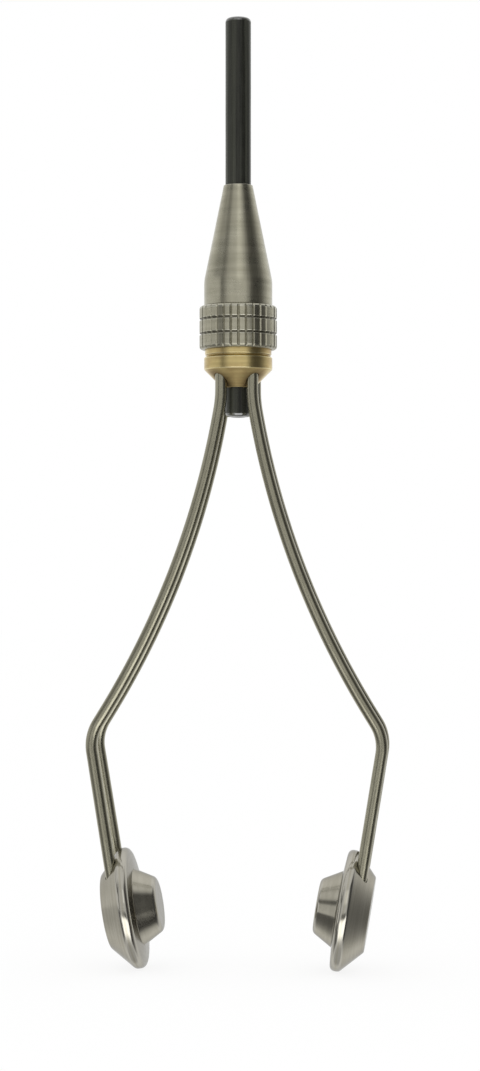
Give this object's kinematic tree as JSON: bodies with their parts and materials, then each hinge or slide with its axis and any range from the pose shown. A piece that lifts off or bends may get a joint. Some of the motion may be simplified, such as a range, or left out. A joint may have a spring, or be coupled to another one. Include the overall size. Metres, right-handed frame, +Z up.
{
  "type": "fly tying bobbin holder",
  "caption": "Slim hand tool that holds a thread spool between sprung wire legs and feeds its thread through a ceramic tube.",
  "frame": {"origin": "on the thread tube's axis, level with the lower edge of the nose cap's grip ring", "axes": "+Z up along the thread tube towards its free end, +X across the legs towards the right leg, +Y away from the viewer"},
  "size_m": [0.0352, 0.0142, 0.1116],
  "materials": {
    "black_ceramic": "polished black",
    "turned_steel": "satin turned",
    "collet_plastic": "natural acetal",
    "turned_brass": "satin turned",
    "spring_wire": "drawn",
    "disc_steel": "fine turned"
  },
  "bodies": {
    "base": {"wire_base": "turned_brass"},
    "tube": {"thread_tube": "black_ceramic"},
    "collet": {"collet": "collet_plastic"},
    "nose": {"nose_cap": "turned_steel"},
    "left_leg": {"left_front_wire": "spring_wire", "left_rear_wire": "spring_wire", "left_spool_disc": "disc_steel"},
    "right_leg": {"right_front_wire": "spring_wire", "right_rear_wire": "spring_wire", "right_spool_disc": "disc_steel"}
  },
  "joints": [
    {"name": "tube_slide", "type": "slide", "parent": "base", "child": "tube", "axis": [0, 0, 1], "range_m": [-0.008, 0.008]},
    {"name": "nose_travel", "type": "slide", "parent": "base", "child": "collet", "axis": [0, 0, 1], "range_m": [0, 0.004]},
    {"name": "nose_turn", "type": "hinge", "parent": "collet", "child": "nose", "pos_m": [0, 0, 0], "axis": [0, 0, 1], "range_deg": [0, 2880]},
    {"name": "left_leg_flex", "type": "hinge", "parent": "base", "child": "left_leg", "pos_m": [-0.00182, 0, -0.00215], "axis": [0, 1, 0], "range_deg": [-3, 6], "stiffness_Nm_per_rad": 3.43},
    {"name": "right_leg_flex", "type": "hinge", "parent": "base", "child": "right_leg", "pos_m": [0.00182, 0, -0.00215], "axis": [0, -1, 0], "range_deg": [-3, 6], "stiffness_Nm_per_rad": 3.43}
  ],
  "couplings": [
    {"joint": "nose_turn", "follows": "nose_travel", "rad_per_m": 12566}
  ]
}
